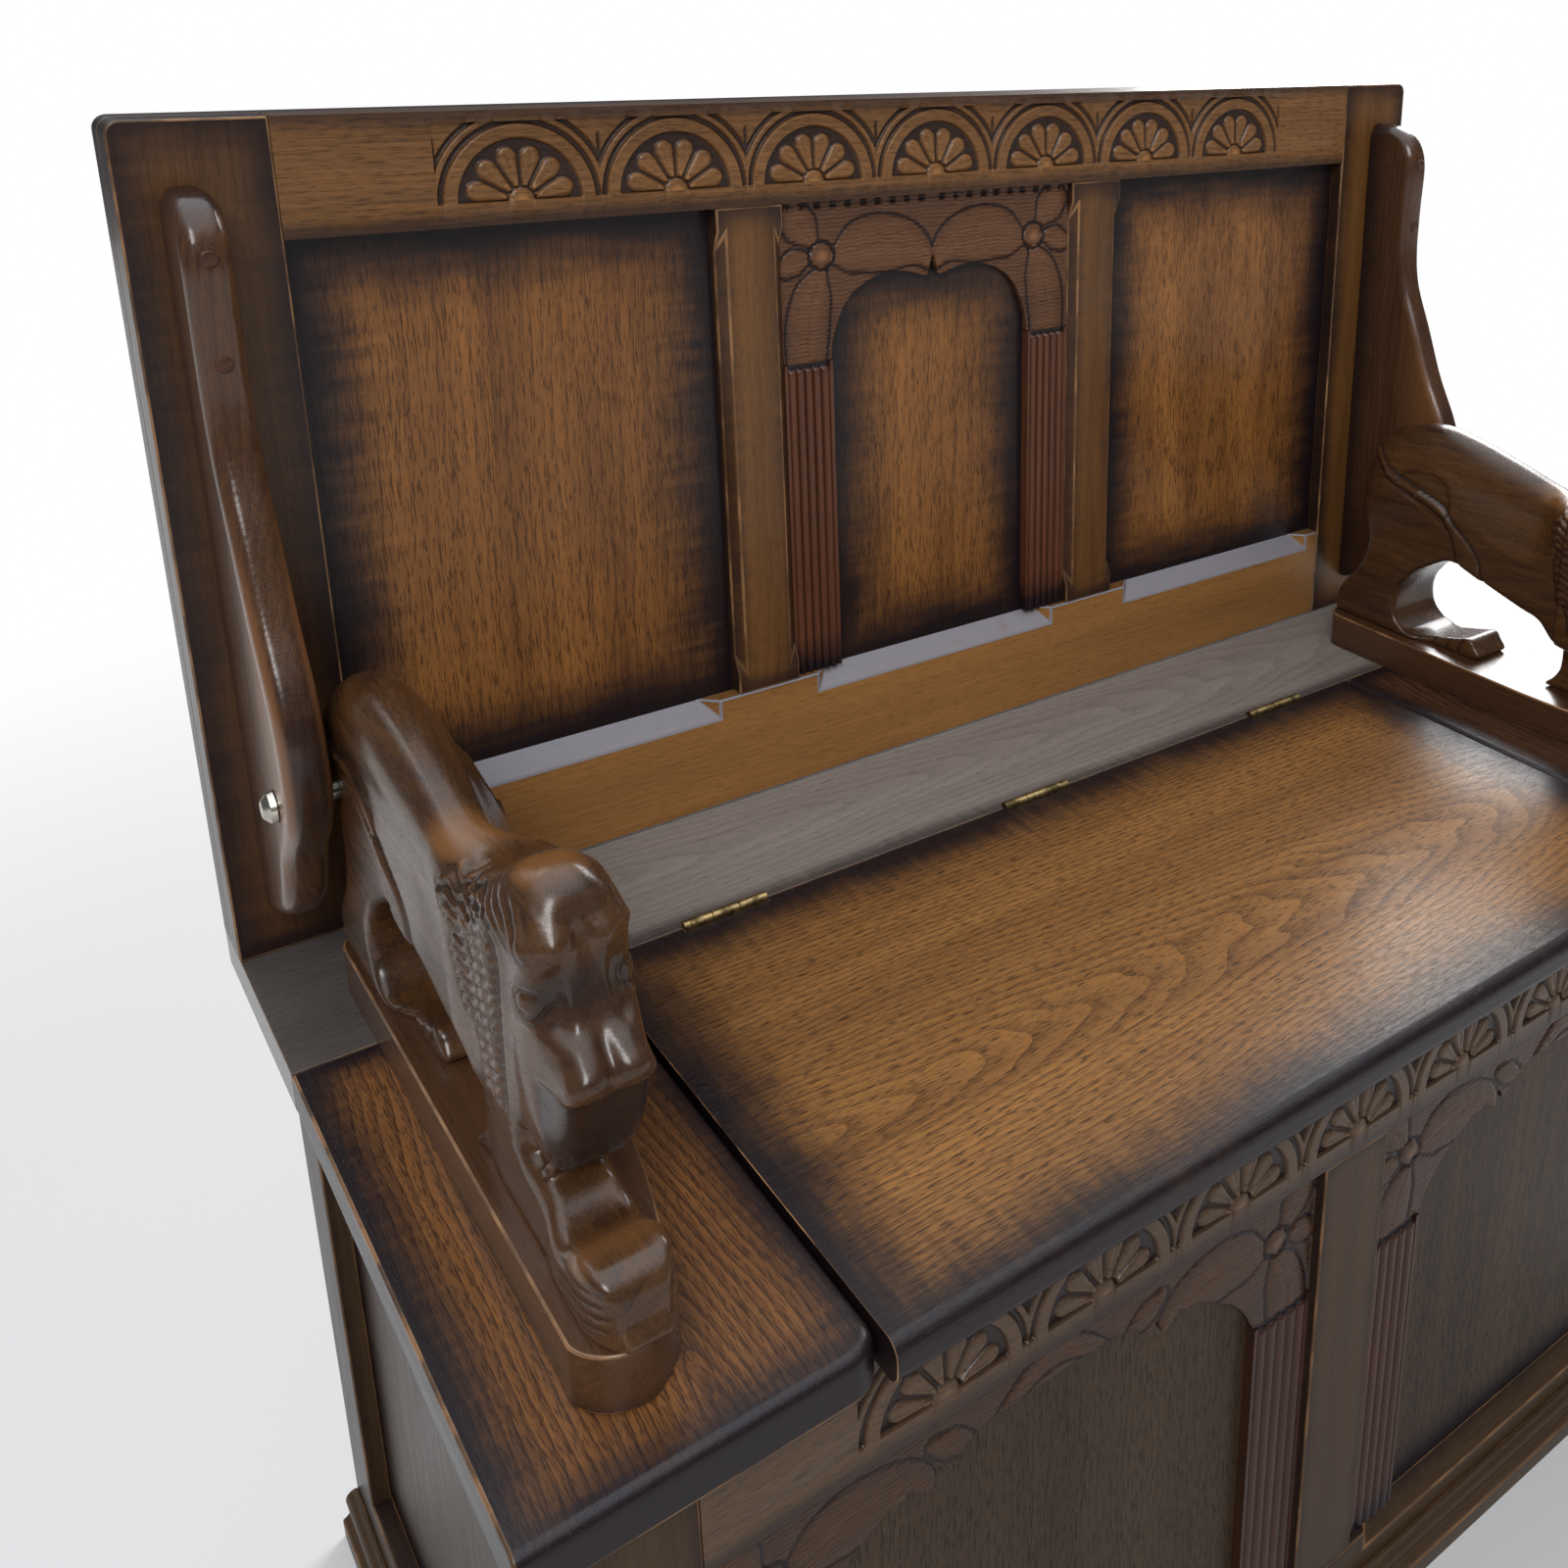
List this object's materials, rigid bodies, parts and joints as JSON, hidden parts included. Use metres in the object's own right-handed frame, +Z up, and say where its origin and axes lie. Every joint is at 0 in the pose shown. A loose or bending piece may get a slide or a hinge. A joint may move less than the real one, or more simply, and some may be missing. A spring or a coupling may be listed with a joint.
{
  "type": "settle bench",
  "caption": "Carved box settle with a hinged lid seat; its panelled back tips forward on two bolts and rests on two lion arms as a table.",
  "frame": {"origin": "on the floor, under the middle of the whole bench's box at rest, with the back upright and the lid shut", "axes": "+X to the right of someone who faces the front, +Y to the rear, +Z up"},
  "size_m": [0.915, 0.475, 0.907],
  "materials": {
    "frame_wood": "dark stained oak, satin",
    "panel_wood": "dark stained oak with shaded edges, satin",
    "seat_wood": "worn dark oak, semi-gloss",
    "carved_wood": "carved dark oak, polished by use",
    "hinge_metal": "aged",
    "bolt_metal": "polished"
  },
  "bodies": {
    "chest": {"arm_plinth_left": "seat_wood", "arm_plinth_right": "seat_wood", "floor_board": "frame_wood", "front_arch_left": "panel_wood", "front_arch_right": "panel_wood", "front_bottom_rail": "frame_wood", "front_muntin": "frame_wood", "front_panel_left": "panel_wood", "front_panel_right": "panel_wood", "front_pilaster_inner_left": "panel_wood", "front_pilaster_inner_right": "panel_wood", "front_pilaster_outer_left": "panel_wood", "front_pilaster_outer_right": "panel_wood", "front_post_left": "frame_wood", "front_post_right": "frame_wood", "front_top_rail": "frame_wood", "hinge_fixed_leaf_1": "hinge_metal", "hinge_fixed_leaf_2": "hinge_metal", "hinge_fixed_leaf_3": "hinge_metal", "lion_arm_left": "carved_wood", "lion_arm_right": "carved_wood", "pivot_bolt_left": "bolt_metal", "pivot_bolt_right": "bolt_metal", "plinth_front": "frame_wood", "plinth_left": "frame_wood", "plinth_right": "frame_wood", "rear_bottom_rail": "frame_wood", "rear_panel": "panel_wood", "rear_post_left": "frame_wood", "rear_post_right": "frame_wood", "rear_top_rail": "frame_wood", "seat_end_board_left": "seat_wood", "seat_end_board_right": "seat_wood", "seat_rear_board": "seat_wood", "side_bottom_rail_left": "frame_wood", "side_bottom_rail_right": "frame_wood", "side_panel_left": "panel_wood", "side_panel_right": "panel_wood", "side_top_rail_left": "frame_wood", "side_top_rail_right": "frame_wood"},
    "table_back": {"back_arch": "panel_wood", "back_bottom_rail": "frame_wood", "back_muntin_left": "frame_wood", "back_muntin_right": "frame_wood", "back_panel_left": "panel_wood", "back_panel_middle": "panel_wood", "back_panel_right": "panel_wood", "back_pilaster_left": "panel_wood", "back_pilaster_right": "panel_wood", "back_stile_left": "frame_wood", "back_stile_right": "frame_wood", "back_top_rail": "frame_wood", "table_board": "seat_wood", "wing_left": "frame_wood", "wing_right": "frame_wood"},
    "lid": {"hinge_lid_leaf_1": "hinge_metal", "hinge_lid_leaf_2": "hinge_metal", "hinge_lid_leaf_3": "hinge_metal", "lid_board": "seat_wood"}
  },
  "joints": [
    {"name": "table_tip", "type": "hinge", "parent": "chest", "child": "table_back", "pos_m": [0, 0.1205, 0.5803], "axis": [1, 0, 0], "range_deg": [0, 90]},
    {"name": "lid_hinge", "type": "hinge", "parent": "chest", "child": "lid", "pos_m": [0, 0.0815, 0.4555], "axis": [-1, 0, 0], "range_deg": [0, 36]}
  ]
}
